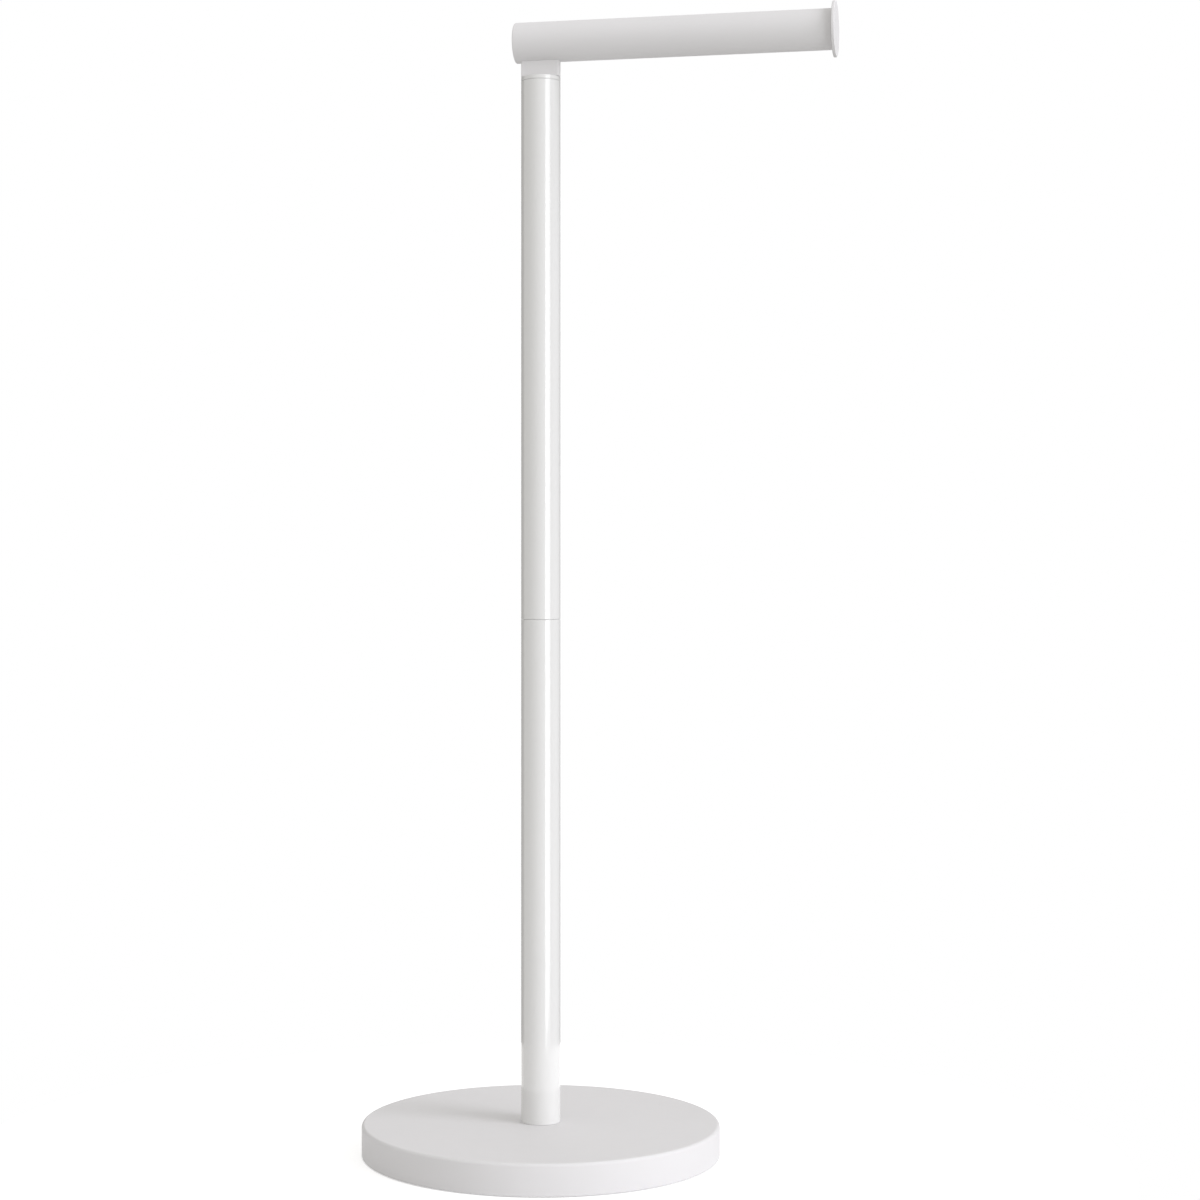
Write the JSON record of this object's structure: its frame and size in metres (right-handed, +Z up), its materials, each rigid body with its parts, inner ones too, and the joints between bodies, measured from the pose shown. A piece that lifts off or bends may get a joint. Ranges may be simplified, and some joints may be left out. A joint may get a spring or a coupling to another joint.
{
  "type": "freestanding toilet paper holder",
  "caption": "Freestanding toilet paper holder: weighted disc base, slim tube post with a fine seam, and a level swivelling arm with a thin end flange, in white.",
  "frame": {"origin": "on the floor, on the post's axis, in the middle of the pad's underside", "axes": "+Z up along the post, +X along the arm towards its flange at rest, +Y to the arm's side"},
  "size_m": [0.2652, 0.2, 0.6369],
  "materials": {
    "matt_white_coat": "fine-grained matt white powder coat",
    "gloss_white_coat": "smooth glossy white coat",
    "cast_iron": "rough as cast",
    "zinc_steel": "bright zinc plate",
    "spring_steel": "dark oiled",
    "white_nylon": "plain",
    "grey_rubber": "fine textured"
  },
  "bodies": {
    "stand": {"base_cover": "matt_white_coat", "base_weight": "cast_iron", "base_pad": "grey_rubber", "base_bolt": "zinc_steel", "base_washer": "zinc_steel", "foot_plug": "zinc_steel", "lower_tube": "gloss_white_coat", "lower_joint_plug": "zinc_steel", "joint_stud": "zinc_steel", "upper_joint_plug": "zinc_steel", "upper_tube": "gloss_white_coat", "head_plug": "gloss_white_coat", "swivel_washer": "white_nylon"},
    "arm": {"neck": "matt_white_coat", "wave_washer": "spring_steel", "retaining_ring": "spring_steel", "arm_tube": "matt_white_coat", "arm_end_plug": "matt_white_coat", "neck_stud": "zinc_steel", "saddle_washer": "zinc_steel", "arm_nut": "zinc_steel", "flange_plug": "zinc_steel", "flange_cap": "matt_white_coat"}
  },
  "joints": [
    {"name": "arm_swivel", "type": "hinge", "parent": "stand", "child": "arm", "pos_m": [0, 0, 0.6018], "axis": [0, 0, 1], "continuous": true}
  ]
}
